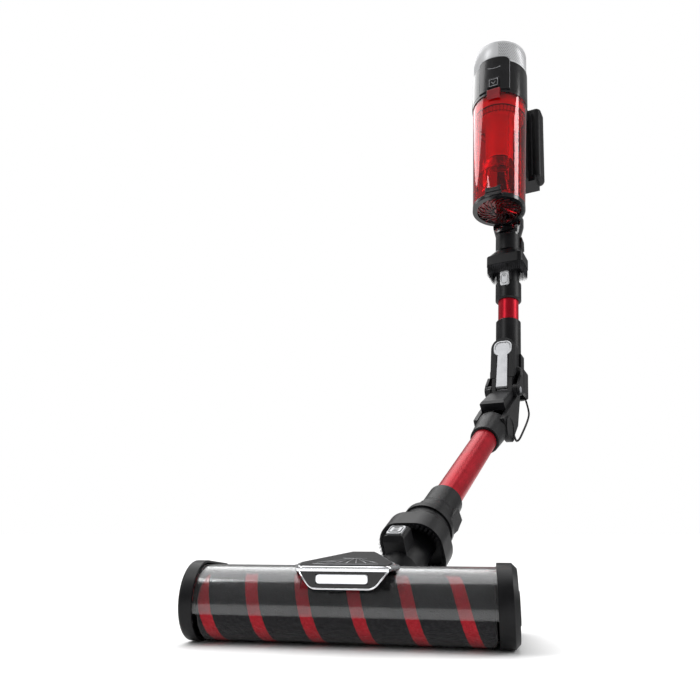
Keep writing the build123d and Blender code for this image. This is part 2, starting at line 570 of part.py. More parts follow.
TOP_BRUSH_Y = -6.0
with BuildPart() as upper_brush_shell:
    pad(UPPER, 256, 274, 66, 46, 9, y=TOP_BRUSH_Y)
    with BuildSketch(UPPER.offset(273.9)) as wide_end:
        with Locations((0, TOP_BRUSH_Y)):
            RectangleRounded(64, 44, 9)
    with BuildSketch(UPPER.offset(288)) as narrow_end:
        with Locations((0, -1)):
            RectangleRounded(46, 42, 14)
    loft([wide_end.sketch.face(), narrow_end.sketch.face()])
    pad(UPPER, 255, 268, 62, 42, 7, y=TOP_BRUSH_Y, mode=Mode.SUBTRACT)
    disc(UPPER, 255, 290, 19 + GAP, mode=Mode.SUBTRACT)
save(upper_brush_shell, "upper_brush_shell")

with BuildPart() as upper_brush_bristles:
    pad(UPPER, 238, 268, 61.6, 41.6, 6.8, y=TOP_BRUSH_Y)
    pad(UPPER, 237, 269, 56, 36.8, 4, y=TOP_BRUSH_Y, mode=Mode.SUBTRACT)
    disc(UPPER, 237, 269, 19 + GAP, mode=Mode.SUBTRACT)
save(upper_brush_bristles, "upper_brush_bristles")

# ======================================================================================
# Handheld
# ======================================================================================
SPINE_BACK = 19.0
SPINE_TOP = 694.0
with BuildPart() as inlet_spine:
    disc(UPPER, NECK_Z + GAP, 341, 22.8)
    cone(UPPER, 326, 346, 22.8, 27.5)
    disc(UPPER, 346, 360, 27.5)
    block(UPPER, (-20, 20), (-12, SPINE_BACK), (352, SPINE_TOP))
    under_lid = [(-60, 344.6), (-8, 344.6), (-24, NECK_Z - 1), (-60, NECK_Z - 1)]
    slab(UPPER, -40, 40, under_lid, mode=Mode.SUBTRACT)
    disc(UPPER, 344, HOUSING_Z, 52.6, y=BIN_Y, mode=Mode.SUBTRACT)
    disc(UPPER, HOUSING_Z - 1, 720, HOUSING_R, y=BIN_Y, mode=Mode.SUBTRACT)
    disc(UPPER, NECK_Z - 1, 340.5, SPIGOT_R + GAP, mode=Mode.SUBTRACT)
    block(UPPER, (-11, 11), (-3, 15), (339, 398), mode=Mode.SUBTRACT)
    block(UPPER, (-15, 15), (2, 15), (410, 640), mode=Mode.SUBTRACT)
    with Locations(spot(UPPER, 0, -8, PORT_Z) * Location((0, 0, 0), (-90, 0, 0))):
        Cylinder(9, 10, align=LOW, mode=Mode.SUBTRACT)
save(inlet_spine, "inlet_spine")

MODE_Z = (588.0, 610.0)
with BuildPart() as motor_housing:
    disc(UPPER, HOUSING_Z, CAP_Z - 0.1, HOUSING_R, y=BIN_Y)
    disc(UPPER, HOUSING_Z - 1, CAP_Z - 4, HOUSING_R - 2.5, y=BIN_Y, mode=Mode.SUBTRACT)
    disc(UPPER, CAP_Z - 6, CAP_Z + 1, 31, y=BIN_Y, mode=Mode.SUBTRACT)
    slot_z = (MODE_Z[0] - GAP, MODE_Z[1] + GAP)
    block(UPPER, (FRONT_X - 11.3, FRONT_X + 11.3), (-120, -100), slot_z, mode=Mode.SUBTRACT)
save(motor_housing, "motor_housing")

PANEL_Z = (584.0, 664.0)
with BuildPart() as front_panel:
    disc(UPPER, PANEL_Z[0], PANEL_Z[1], HOUSING_R + 2, y=BIN_Y)
    disc(UPPER, PANEL_Z[0] - 1, PANEL_Z[1] + 1, HOUSING_R + 0.05, y=BIN_Y, mode=Mode.SUBTRACT)
    with BuildSketch(FACE.offset(90)) as front:
        with Locations((FRONT_X - 1, 600)):
            RectangleRounded(58, 128, 9)
    extrude(front.sketch, amount=60, mode=Mode.INTERSECT)
    block(UPPER, (FRONT_X - 11.3, FRONT_X + 11.3), (-130, -90), (570, MODE_Z[1] + GAP), mode=Mode.SUBTRACT)
save(front_panel, "front_panel")

with BuildPart() as mode_button:
    block(UPPER, (FRONT_X - 11, FRONT_X + 11), (BIN_Y - HOUSING_R - 2.6, BIN_Y - HOUSING_R + 3), MODE_Z)
    fillet(mode_button.edges().filter_by(lambda e: abs((e % 0.5).dot(UPPER.y_dir)) > 0.99), 2)
save(mode_button, "mode_button")

with BuildPart() as exhaust_cap:
    disc(UPPER, CAP_Z, TOP_Z, 50.6, y=BIN_Y)
    fillet(exhaust_cap.edges().group_by(Axis(origin=crossing, direction=upper_dir))[-1], 8)
    disc(UPPER, CAP_Z - 1, TOP_Z - 12, 48.4, y=BIN_Y, mode=Mode.SUBTRACT)
    disc(UPPER, TOP_Z - 13, TOP_Z - 2.2, 41, y=BIN_Y, mode=Mode.SUBTRACT)
save(exhaust_cap, "exhaust_cap")

with BuildPart() as fan_motor:
    disc(UPPER, 612, 694, 30, y=BIN_Y)
    disc(UPPER, 598, 613, 3, y=BIN_Y)
    disc(UPPER, CAP_Z, CAP_Z + 2, 40, y=BIN_Y)
save(fan_motor, "fan_motor")

with BuildPart() as impeller:
    disc(UPPER, 600, 602, 34, y=BIN_Y)
    disc(UPPER, 600, 610, 8, y=BIN_Y)
    for k in range(12):
        turned = Location((0, 0, 0), (0, 0, 30 * k)) * Location((20, 0, 0), (0, 0, 35))
        with Locations(spot(UPPER, 0, BIN_Y, 602) * turned):
            Box(26, 1.2, 6, align=LOW)
    disc(UPPER, 599, 611, 3 + RUN, y=BIN_Y, mode=Mode.SUBTRACT)
save(impeller, "impeller")

with BuildPart() as pre_motor_filter:
    disc(UPPER, 585, 594, 47, y=BIN_Y)
save(pre_motor_filter, "pre_motor_filter")

GRIP_Y = (60.0, 84.0)
GRIP_Z = (506.0, SPINE_TOP)
TRIGGER_Z = (636.0, 658.0)
BATTERY_Y = (88.3, 128.0)
BATTERY_Z = (520.3, 702.0)
with BuildPart() as grip:
    block(UPPER, (-17, 17), (SPINE_BACK + 0.05, GRIP_Y[1]), (662, GRIP_Z[1]))
    block(UPPER, (-17, 17), (SPINE_BACK + 0.05, GRIP_Y[1]), (GRIP_Z[0], 530))
    block(UPPER, (-16, 16), GRIP_Y, GRIP_Z)
    fillet(grip.edges().filter_by(lambda e: abs((e % 0.5).dot(upper_dir)) > 0.99 and e.length > 100), 7)
    block(UPPER, (-24, 24), (GRIP_Y[1] - 4, BATTERY_Y[0] - GAP), (GRIP_Z[0], 690))
    block(UPPER, (-30, 30), (GRIP_Y[1] - 4, BATTERY_Y[1] - 10), (GRIP_Z[0], BATTERY_Z[0] - GAP))
    block(UPPER, (-6.3, 6.3), (56, 72), (TRIGGER_Z[0] - GAP, TRIGGER_Z[1] + GAP), mode=Mode.SUBTRACT)
save(grip, "grip")

with BuildPart() as trigger:
    block(UPPER, (-6, 6), (54, 66), TRIGGER_Z)
    fillet(trigger.faces().sort_by(Axis(origin=crossing, direction=UPPER.y_dir))[0].edges(), 2)
save(trigger, "trigger")

with BuildPart() as battery:
    pad(UPPER, *BATTERY_Z, 80, BATTERY_Y[1] - BATTERY_Y[0], 11, y=sum(BATTERY_Y) / 2)
    fillet(battery.faces().sort_by(Axis(origin=crossing, direction=upper_dir))[0].edges(), 9)
    fillet(battery.faces().sort_by(Axis(origin=crossing, direction=upper_dir))[-1].edges(), 5)
    for sx in (-1, 1):
        for k in range(2):
            disc(UPPER, 526, 696, 1.6, x=sx * 40.4, y=101 + 9 * k, mode=Mode.SUBTRACT)
    block(UPPER, (-10.3, 10.3), (BATTERY_Y[1] - 4, 160), (618, 636.6), mode=Mode.SUBTRACT)
save(battery, "battery")

with BuildPart() as battery_release:
    block(UPPER, (-10, 10), (BATTERY_Y[1] - 2.4, BATTERY_Y[1] + 1.2), (618.3, 636.3))
    fillet(battery_release.edges().filter_by(lambda e: abs((e % 0.5).dot(UPPER.y_dir)) > 0.99), 3)
save(battery_release, "battery_release")

# ---- dust bin ------------------------------------------------------------------------
with BuildPart() as bin_shell:
    cone(UPPER, BIN_Z0, BIN_Z1, BIN_R0, BIN_R1, y=BIN_Y)
    cone(UPPER, BIN_Z0 - 0.01, BIN_Z1 + 0.01, BIN_R0 - 2, BIN_R1 - 2, y=BIN_Y, mode=Mode.SUBTRACT)
    with Locations(spot(UPPER, 0, BIN_Y + 40, PORT_Z) * Location((0, 0, 0), (-90, 0, 0))):
        Cylinder(9, 20, align=LOW, mode=Mode.SUBTRACT)
    for sx in (-1, 1):
        ear = sorted((sx * (HINGE_HALF + GAP), sx * (HINGE_HALF + 3)))
        cross_pin(UPPER, *ear, HINGE_R, HINGE_Y, HINGE_Z)
        section = [(HINGE_Y - HINGE_R, HINGE_Z), (HINGE_Y + HINGE_R, HINGE_Z), (HINGE_Y + HINGE_R, 350)]
        section += [(HINGE_Y - 1, 358), (BIN_Y + 44, 358)]
        section += [(BIN_Y + 44, BIN_Z0 + 0.2), (HINGE_Y - HINGE_R, 353)]
        slab(UPPER, *ear, section)
save(bin_shell, "bin_shell")

with BuildPart() as bin_rim:
    disc(UPPER, BIN_Z1, HOUSING_Z - GAP, 51.6, y=BIN_Y)
    disc(UPPER, BIN_Z1 - 1, HOUSING_Z, 47.8, y=BIN_Y, mode=Mode.SUBTRACT)
save(bin_rim, "bin_rim")

CONE_Z = (452.0, 553.0)
with BuildPart() as filter_cone:
    cone(UPPER, CONE_Z[0], CONE_Z[1], 24, 27, y=BIN_Y)
    disc(UPPER, CONE_Z[1], BIN_Z1, 46.5, y=BIN_Y)
    disc(UPPER, CONE_Z[1] - 3, CONE_Z[1], 47.4, y=BIN_Y)
    cone(UPPER, CONE_Z[0] + 2, BIN_Z1 + 1, 22, 24, y=BIN_Y, mode=Mode.SUBTRACT)
    disc(UPPER, CONE_Z[1] + 2, BIN_Z1 + 1, 44, y=BIN_Y, mode=Mode.SUBTRACT)
save(filter_cone, "filter_cone")

with BuildPart() as cyclone_skirt:
    cone(UPPER, 417, CONE_Z[0] - 0.05, 38, 24.5, y=BIN_Y)
    cone(UPPER, 416.9, CONE_Z[0] - 2, 36.2, 22.7, y=BIN_Y, mode=Mode.SUBTRACT)
save(cyclone_skirt, "cyclone_skirt")

with BuildPart() as bin_inlet_duct:
    slab(UPPER, -11, 11, [(-33, 370), (-15.2, 370), (-15.2, 398), (-19, 412), (-33, 408)])
    with Locations(spot(UPPER, 0, BIN_Y + 30, PORT_Z) * Location((0, 0, 0), (-90, 0, 0))):
        Cylinder(8.5, 20, align=LOW, mode=Mode.SUBTRACT)
save(bin_inlet_duct, "bin_inlet_duct")

with BuildPart() as lid_ring:
    disc(UPPER, LID_Z, BIN_Z0 - GAP, 46.3, y=BIN_Y)
    block(UPPER, (FRONT_X - 15, FRONT_X + 15), (BIN_Y - 50, BIN_Y - 40), (LID_Z + 1, LID_Z + 7))
    disc(UPPER, LID_Z - 1, BIN_Z0, 38.5, y=BIN_Y, mode=Mode.SUBTRACT)
    cross_pin(UPPER, -HINGE_HALF, HINGE_HALF, HINGE_R, HINGE_Y, HINGE_Z)
    block(UPPER, (-HINGE_HALF, HINGE_HALF), (HINGE_Y - 6, HINGE_Y), (LID_Z + 1, LID_Z + 3.5))
save(lid_ring, "lid_ring")

with BuildPart() as lid_window:
    disc(UPPER, LID_Z + 3, LID_Z + 5, 38.5, y=BIN_Y)
    disc(UPPER, LID_Z + 1.5, LID_Z + 5, 8, y=BIN_Y)
    for k in range(16):
        turned = Location((0, 0, 0), (0, 0, 22.5 * k)) * Location((22, 0, 0), (0, 0, 30))
        with Locations(spot(UPPER, 0, BIN_Y, LID_Z + 1) * turned):
            Box(27, 1.4, 3, align=LOW)
save(lid_window, "lid_window")

with BuildPart() as lid_latch:
    block(UPPER, (FRONT_X - 14, FRONT_X + 14), (BIN_Y - 50.5, BIN_Y - 40), (BIN_Z0 + GAP, 363))
    disc(UPPER, 340, 384, 46.6, y=BIN_Y, mode=Mode.SUBTRACT)
    block(UPPER, (FRONT_X - 8, FRONT_X + 8), (-130, BIN_Y - 48.5), (355, 364), mode=Mode.SUBTRACT)
save(lid_latch, "lid_latch")

with BuildPart() as bin_latch:
    section = [(-100, 561), (-109.5, 562), (-112.2, 567), (-112.2, 582.8), (-100, 582.8)]
    slab(UPPER, FRONT_X - 12, FRONT_X + 12, section)
    disc(UPPER, 550, 590, 51.9, y=BIN_Y, mode=Mode.SUBTRACT)
save(bin_latch, "bin_latch")
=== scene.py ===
"""Looks of the cordless stick vacuum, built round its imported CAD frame. Metres, row frame."""

import json
from math import atan, cos, pi, radians, sin, tan

import bmesh
import bpy
from mathutils import Matrix, Vector, noise


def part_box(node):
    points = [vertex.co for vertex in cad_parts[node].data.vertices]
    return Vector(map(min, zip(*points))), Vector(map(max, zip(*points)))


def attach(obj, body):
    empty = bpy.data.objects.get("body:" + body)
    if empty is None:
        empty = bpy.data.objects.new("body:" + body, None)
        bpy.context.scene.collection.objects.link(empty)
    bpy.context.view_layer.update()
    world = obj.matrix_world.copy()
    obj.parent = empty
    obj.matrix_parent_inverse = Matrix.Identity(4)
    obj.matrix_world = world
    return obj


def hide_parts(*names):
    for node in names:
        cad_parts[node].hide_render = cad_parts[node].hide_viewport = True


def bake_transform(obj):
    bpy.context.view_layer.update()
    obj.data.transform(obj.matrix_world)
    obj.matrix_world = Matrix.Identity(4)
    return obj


MM = 0.001

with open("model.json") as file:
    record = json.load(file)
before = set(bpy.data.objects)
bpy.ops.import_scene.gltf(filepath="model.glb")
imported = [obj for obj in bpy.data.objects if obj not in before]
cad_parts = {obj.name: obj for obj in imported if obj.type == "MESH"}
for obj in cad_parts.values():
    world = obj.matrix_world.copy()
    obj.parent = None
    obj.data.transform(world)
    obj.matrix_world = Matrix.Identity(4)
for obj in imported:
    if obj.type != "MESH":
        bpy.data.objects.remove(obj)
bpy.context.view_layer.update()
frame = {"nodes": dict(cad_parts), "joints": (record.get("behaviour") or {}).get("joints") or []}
nodes = frame["nodes"]
joints = {j["name"]: j for j in frame["joints"]}


# ---- wand frames, from the record's joints ---------------------------------------------
def axes(origin, x, z):
    """Matrix whose columns are local x, y, z in the row frame."""
    y = z.cross(x)
    m = Matrix((x, y, z)).transposed().to_4x4()
    m.translation = origin
    return m


FOLD_OFFSET = 27 * MM  # the fold hinge's distance behind the crossing of the two wands
side = Vector(joints["wand_fold"]["axis"]).normalized()
upper_dir = -Vector(joints["upper_detach"]["axis"]).normalized()
lower_dir = -Vector(joints["lower_detach"]["axis"]).normalized()
fold_point = Vector(joints["wand_fold"]["pos_m"])
fold_z = FOLD_OFFSET * tan(upper_dir.angle(lower_dir) / 2)
upper_y = upper_dir.cross(side)
crossing = fold_point + upper_y * FOLD_OFFSET - upper_dir * fold_z
UPPER = axes(crossing, side, upper_dir)
LOWER = axes(Vector(joints["neck_swivel"]["pos_m"]), side, lower_dir)
HEAD = Matrix.Identity(4)


# ---- materials -------------------------------------------------------------------------
def shader(name):
    """New node material, its tree and its principled shader."""
    mat = bpy.data.materials.new(name)
    mat.use_nodes = True
    return mat, mat.node_tree, mat.node_tree.nodes["Principled BSDF"]


def node(tree, kind, **inputs):
    """New node with its named inputs set."""
    made = tree.nodes.new(kind)
    for key, value in inputs.items():
        made.inputs[key.replace("_", " ")].default_value = value
    return made


EDGE = 0.0006  # radius that shades hard edges soft
BLACK_TONES = (0.003, 0.003, 0.0035), (0.007, 0.007, 0.008)
BRISTLE_TONES = (0.008, 0.008, 0.009), (0.05, 0.05, 0.055)
SILVER_TONES = (0.30, 0.305, 0.315), (0.38, 0.385, 0.395)
ALLOY_TONES = (0.34, 0.35, 0.37), (0.48, 0.49, 0.51)
GLOSS_TONES = (0.002, 0.002, 0.0025), (0.005, 0.005, 0.006)
RUBBER_TONES = (0.004, 0.004, 0.0045), (0.010, 0.010, 0.011)
ANODISED_TONES = (0.30, 0.007, 0.015), (0.38, 0.009, 0.020)


def rounded_bump(tree, bsdf, height, strength, edge=EDGE, distance=0.0003):
    """Fine bump over edges softened by a small radius, or over plain edges if it is 0."""
    bump = node(tree, "ShaderNodeBump", Strength=strength, Distance=distance)
    tree.links.new(height, bump.inputs["Height"])
    if edge:
        edges = node(tree, "ShaderNodeBevel", Radius=edge)
        edges.samples = 6
        tree.links.new(edges.outputs["Normal"], bump.inputs["Normal"])
    tree.links.new(bump.outputs["Normal"], bsdf.inputs["Normal"])


def worn(tree, dark, light, scale, low=0.35, high=0.65):
    """Noise-driven mix of two tones over object coordinates, and the noise itself."""
    coords = tree.nodes.new("ShaderNodeTexCoord")
    tex = node(tree, "ShaderNodeTexNoise", Scale=scale, Detail=6.0, Roughness=0.6)
    ramp = tree.nodes.new("ShaderNodeValToRGB")
    ramp.color_ramp.elements[0].position = low
    ramp.color_ramp.elements[1].position = high
    ramp.color_ramp.elements[0].color = (*dark, 1)
    ramp.color_ramp.elements[1].color = (*light, 1)
    tree.links.new(coords.outputs["Object"], tex.inputs["Vector"])
    tree.links.new(tex.outputs["Fac"], ramp.inputs["Fac"])
    return coords, tex, ramp


def plastic(
    name, dark, light, rough, grain=900.0, strength=0.25, coat=0.0, metallic=0.0, specular=0.5, edge=EDGE
):
    """Moulded plastic or metal: two close tones, uneven gloss and a fine grain."""
    mat, tree, bsdf = shader(name)
    coords, tex, ramp = worn(tree, dark, light, 60.0)
    tree.links.new(ramp.outputs["Color"], bsdf.inputs["Base Color"])
    fine = node(tree, "ShaderNodeTexNoise", Scale=grain, Detail=3.0)
    tree.links.new(coords.outputs["Object"], fine.inputs["Vector"])
    gloss = node(tree, "ShaderNodeMapRange", To_Min=rough * 0.8, To_Max=rough * 1.25)
    tree.links.new(tex.outputs["Fac"], gloss.inputs["Value"])
    tree.links.new(gloss.outputs["Result"], bsdf.inputs["Roughness"])
    bsdf.inputs["Coat Weight"].default_value = coat
    bsdf.inputs["Coat Roughness"].default_value = 0.08
    bsdf.inputs["Metallic"].default_value = metallic
    bsdf.inputs["Specular IOR Level"].default_value = specular
    rounded_bump(tree, bsdf, fine.outputs["Fac"], strength, edge)
    return mat


def clear(name, tint, rough=0.02):
    """Clear moulded plastic with faint flow marks."""
    mat, tree, bsdf = shader(name)
    _, tex, ramp = worn(tree, tuple(c * 0.93 for c in tint), tint, 14.0)
    tree.links.new(ramp.outputs["Color"], bsdf.inputs["Base Color"])
    bsdf.inputs["Roughness"].default_value = rough
    bsdf.inputs["Transmission Weight"].default_value = 1.0
    bsdf.inputs["IOR"].default_value = 1.48
    rounded_bump(tree, bsdf, tex.outputs["Fac"], 0.08, edge=0, distance=0.0002)
    return mat


BLACK = plastic("black_satin", *BLACK_TONES, 0.38, specular=0.18)
GLOSS = plastic("black_gloss", *GLOSS_TONES, 0.16, strength=0.06, coat=0.25, specular=0.4)
RED_METAL = plastic("red_anodised", *ANODISED_TONES, 0.33, strength=0.04, metallic=0.6, specular=0.1, edge=0)
RED = plastic("red_plastic", (0.42, 0.012, 0.018), (0.55, 0.018, 0.025), 0.28, strength=0.1)
LATCH_RED = plastic("latch_red", (0.14, 0.004, 0.007), (0.20, 0.006, 0.010), 0.22, strength=0.08)
SILVER = plastic("silver_satin", *SILVER_TONES, 0.34, strength=0.12, metallic=0.7)
CHROME = plastic("chrome_trim", (0.80, 0.81, 0.83), (0.90, 0.91, 0.93), 0.08, strength=0.02, metallic=1.0)
WHITE = plastic("pale_silver", (0.38, 0.385, 0.40), (0.46, 0.465, 0.48), 0.32, strength=0.15, metallic=0.25)
RUBBER = plastic("rubber", *RUBBER_TONES, 0.6, grain=500.0, strength=0.4, specular=0.2, edge=0)
ALLOY = plastic("cast_alloy", *ALLOY_TONES, 0.4, grain=400.0, strength=0.4, metallic=1.0)
PALE_FOAM = plastic("filter_paper", (0.42, 0.42, 0.44), (0.56, 0.56, 0.58), 0.85, grain=700.0, strength=0.7)
BRISTLE = plastic("bristle_nylon", *BRISTLE_TONES, 0.5, grain=1800.0, specular=0.3, edge=0)
RED_CLEAR = clear("red_clear", (0.95, 0.10, 0.13))
DARK_CLEAR = clear("dark_red_clear", (0.30, 0.012, 0.018))
CLEAR = clear("window_clear", (0.93, 0.94, 0.95), 0.12)


def lens_material():
    """Frosted light bar that glows."""
    mat, tree, bsdf = shader("light_lens")
    _, tex, ramp = worn(tree, (0.85, 0.88, 0.92), (1, 1, 1), 40.0)
    tree.links.new(ramp.outputs["Color"], bsdf.inputs["Base Color"])
    tree.links.new(ramp.outputs["Color"], bsdf.inputs["Emission Color"])
    bsdf.inputs["Emission Strength"].default_value = 0.35
    rounded_bump(tree, bsdf, tex.outputs["Fac"], 0.1)
    return mat


LENS = lens_material()

FINISH = (
    (GLOSS, (
        "inlet_spine motor_housing front_panel mode_button battery_release bin_rim lid_ring "
        "lid_latch light_bezel"
    )),
    (WHITE, "exhaust_cap"),
    (BLACK, (
        "grip battery wand_connector upper_collar upper_sleeve upper_knuckle lever_channel "
        "upper_brush_shell lower_knuckle knuckle_hood lower_sleeve lower_brush_cup "
        "head_connector neck_yoke head_chassis top_plate end_cap_left end_cap_right "
        "roller_release roller_core"
    )),
    (PALE_FOAM, "pre_motor_filter"),
    (ALLOY, "fan_motor impeller flex_pins head_motor motor_pulley"),
    (RED, "trigger filter_cone bin_inlet_duct"),
    (RED_CLEAR, "bin_shell cyclone_skirt"),
    (LATCH_RED, "bin_latch"),
    (DARK_CLEAR, "lid_window"),
    (RED_METAL, "upper_tube lower_tube"),
    (RUBBER, "flex_hose flex_cable felt_strip roller_velour drive_belt wheel_left wheel_right"),
    (SILVER, "wand_release flex_lever head_release"),
    (BRISTLE, "upper_brush_bristles lower_brush_bristles"),
    (CLEAR, "roller_window"),
    (CHROME, "plate_trim"),
    (LENS, "light_bar"),
)
for mat, names in FINISH:
    for name in names.split():
        nodes[name].data.materials.clear()
        nodes[name].data.materials.append(mat)


# ---- pattern materials -----------------------------------------------------------------
def math_node(tree, op, a, b=None):
    """Math node fed by sockets or numbers; returns its output."""
    made = tree.nodes.new("ShaderNodeMath")
    made.operation = op
    for i, value in enumerate((a, b)):
        if value is None:
            continue
        if isinstance(value, (int, float)):
            made.inputs[i].default_value = value
        else:
            tree.links.new(value, made.inputs[i])
    return made.outputs[0]


def split_coords(tree):
    """Object coordinates as three sockets, with the node itself."""
    coords = tree.nodes.new("ShaderNodeTexCoord")
    parts = tree.nodes.new("ShaderNodeSeparateXYZ")
    tree.links.new(coords.outputs["Object"], parts.inputs[0])
    return coords, parts.outputs[0], parts.outputs[1], parts.outputs[2]


def mix_colour(tree, mask, plain, marked):
    """Mix of two colours or sockets by a mask."""
    mix = tree.nodes.new("ShaderNodeMix")
    mix.data_type = "RGBA"
    tree.links.new(mask, mix.inputs["Factor"])
    for socket, value in (("A", plain), ("B", marked)):
        target = [i for i in mix.inputs if i.name == socket and i.type == "RGBA"][0]
        if isinstance(value, tuple):
            target.default_value = (*value, 1)
        else:
            tree.links.new(value, target)
    return [o for o in mix.outputs if o.type == "RGBA"][0]


STRIPE_PITCH = 41 * MM
STRIPE_WIDE = 0.25  # share of the pitch
STRIPE_AT = 3.5 * MM  # stripe centre along the top of the roller
roller_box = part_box("roller_velour")
ROLLER_MID = (roller_box[0] + roller_box[1]) / 2
ROLLER_R = (roller_box[1].z - roller_box[0].z) / 2
ROLLER_HALF = (roller_box[1].x - roller_box[0].x) / 2


def pile_material():
    """Black pile with one red stripe wound round the roller."""
    mat, tree, bsdf = shader("roller_pile")
    coords, x, y, z = split_coords(tree)
    rise = math_node(tree, "SUBTRACT", z, ROLLER_MID.z)
    front = math_node(tree, "SUBTRACT", ROLLER_MID.y, y)
    turns = math_node(tree, "DIVIDE", math_node(tree, "ARCTAN2", front, rise), 2 * pi)
    along = math_node(tree, "DIVIDE", math_node(tree, "SUBTRACT", x, STRIPE_AT), STRIPE_PITCH)
    wobble = node(tree, "ShaderNodeTexNoise", Scale=900.0, Detail=2.0)
    tree.links.new(coords.outputs["Object"], wobble.inputs["Vector"])
    phase = math_node(tree, "ADD", math_node(tree, "SUBTRACT", along, turns), STRIPE_WIDE / 2)
    phase = math_node(tree, "ADD", phase, math_node(tree, "MULTIPLY", wobble.outputs["Fac"], 0.03))
    mask = math_node(tree, "LESS_THAN", math_node(tree, "FRACT", phase), STRIPE_WIDE)
    tone = node(tree, "ShaderNodeTexNoise", Scale=420.0, Detail=4.0)
    tree.links.new(coords.outputs["Object"], tone.inputs["Vector"])
    black = mix_colour(tree, tone.outputs["Fac"], (0.004, 0.004, 0.005), (0.035, 0.035, 0.038))
    red = mix_colour(tree, tone.outputs["Fac"], (0.22, 0.006, 0.012), (0.62, 0.03, 0.045))
    tree.links.new(mix_colour(tree, mask, black, red), bsdf.inputs["Base Color"])
    bsdf.inputs["Roughness"].default_value = 0.95
    bsdf.inputs["Specular IOR Level"].default_value = 0.15
    bsdf.inputs["Sheen Weight"].default_value = 0.25
    bsdf.inputs["Sheen Roughness"].default_value = 0.5
    bump = node(tree, "ShaderNodeBump", Strength=0.9, Distance=0.0009)
    tree.links.new(wobble.outputs["Fac"], bump.inputs["Height"])
    tree.links.new(bump.outputs["Normal"], bsdf.inputs["Normal"])
    return mat


DOT_SQUARED = 0.09  # squared radius of a hole, in shares of the pitch


def dotted(name, plain, painted_hole_shade, rough, radius, pitch, z0, z1, x_from=-1.0, metallic=0.0):
    """Turned part with rows of small holes between two heights, behind its middle or right of x_from; the
    holes are not cut but are dots of painted shade over a dented bump.
    """
    mat, tree, bsdf = shader(name)
    coords, x, y, z = split_coords(tree)
    round_it = math_node(tree, "MULTIPLY", math_node(tree, "ARCTAN2", y, x), radius / pitch)
    row = math_node(tree, "DIVIDE", z, pitch)
    odd_row = math_node(tree, "FLOORED_MODULO", math_node(tree, "FLOOR", row), 2)
    column = math_node(tree, "ADD", round_it, math_node(tree, "MULTIPLY", odd_row, 0.5))
    cell_u = math_node(tree, "SUBTRACT", math_node(tree, "FRACT", column), 0.5)
    cell_v = math_node(tree, "SUBTRACT", math_node(tree, "FRACT", row), 0.5)
    squares = [math_node(tree, "MULTIPLY", cell, cell) for cell in (cell_u, cell_v)]
    dot = math_node(tree, "LESS_THAN", math_node(tree, "ADD", *squares), DOT_SQUARED)
    reach = math_node(tree, "MAXIMUM", math_node(tree, "SUBTRACT", x, x_from), y)
    for test, limit, value in (("GREATER_THAN", z0, z), ("LESS_THAN", z1, z), ("GREATER_THAN", 0.0, reach)):
        dot = math_node(tree, "MULTIPLY", dot, math_node(tree, test, value, limit))
    grime = node(tree, "ShaderNodeTexNoise", Scale=80.0, Detail=5.0)
    tree.links.new(coords.outputs["Object"], grime.inputs["Vector"])
    body = mix_colour(tree, grime.outputs["Fac"], tuple(0.85 * c for c in plain), plain)
    # Where the dot mask is set, the colour is painted shade standing in for the holes; the bump dents them.
    tree.links.new(mix_colour(tree, dot, body, painted_hole_shade), bsdf.inputs["Base Color"])
    bsdf.inputs["Roughness"].default_value = rough
    bsdf.inputs["Metallic"].default_value = metallic
    bump = node(tree, "ShaderNodeBump", Strength=0.6, Distance=0.0004)
    bump.invert = True
    tree.links.new(dot, bump.inputs["Height"])
    tree.links.new(bump.outputs["Normal"], bsdf.inputs["Normal"])
    return mat


# ---- mesh helpers ----------------------------------------------------------------------
BACKWARDS = Vector((0, 1, 0))


def piece(name, bm, mat, body, at=HEAD, smooth=True, hides=()):
    """Finishes a bmesh as a piece that rides on a body."""
    bmesh.ops.recalc_face_normals(bm, faces=bm.faces)
    mesh = bpy.data.meshes.new(name)
    bm.to_mesh(mesh)
    bm.free()
    mesh.materials.append(mat)
    for poly in mesh.polygons:
        poly.use_smooth = smooth
    obj = bpy.data.objects.new(name, mesh)
    bpy.context.scene.collection.objects.link(obj)
    obj.matrix_world = at
    if body:
        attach(obj, body)
    if hides:
        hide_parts(*hides)
    return obj


def skin_rings(bm, rings, closed=False):
    """Faces between rings of vertices."""
    made = [[bm.verts.new(p) for p in ring] for ring in rings]
    pairs = list(zip(made, made[1:])) + ([(made[-1], made[0])] if closed else [])
    for a, b in pairs:
        for i in range(len(a)):
            j = (i + 1) % len(a)
            bm.faces.new((a[i], a[j], b[j], b[i]))
    return made


def angles(count, extra=0):
    """Even steps round a full turn, with extra ones past its start to close a bar."""
    return [2 * pi * k / count for k in range(count + extra)]


def sweep(start, stop, step):
    """Angles in radians for a range given in whole degrees."""
    return [radians(d) for d in range(start, stop, step)]


def turned(profile, steps=96):
    """Closed (radius, z) profile in mm turned round local z."""
    bm = bmesh.new()
    rings = [[(r * cos(a) * MM, r * sin(a) * MM, z * MM) for r, z in profile] for a in angles(steps)]
    skin_rings(bm, rings, closed=True)
    return bm


def tube_along(bm, points, radius, sides=10, normal=Vector((0, 0, 1))):
    """Round bar through points in metres; radius may be one number or one per point."""
    rings = []
    count = len(points)
    for i, p in enumerate(points):
        ahead_dir = (points[min(i + 1, count - 1)] - points[max(i - 1, 0)]).normalized()
        u = ahead_dir.cross(normal)
        u = u.normalized() if u.length > 1e-6 else ahead_dir.orthogonal().normalized()
        v = u.cross(ahead_dir)
        r = radius[i] if isinstance(radius, list) else radius
        rings.append([p + (u * cos(a) + v * sin(a)) * r for a in angles(sides)])
    made = skin_rings(bm, rings)
    bm.faces.new(made[0])
    bm.faces.new(made[-1])


def spike(bm, root, tip, radius):
    """One tapered fibre of three sides."""
    d = (tip - root).normalized()
    u = d.orthogonal().normalized()
    v = d.cross(u)
    base = [bm.verts.new(root + (u * cos(a) + v * sin(a)) * radius) for a in angles(3)]
    top = bm.verts.new(tip)
    for i in range(3):
        bm.faces.new((base[i], base[(i + 1) % 3], top))


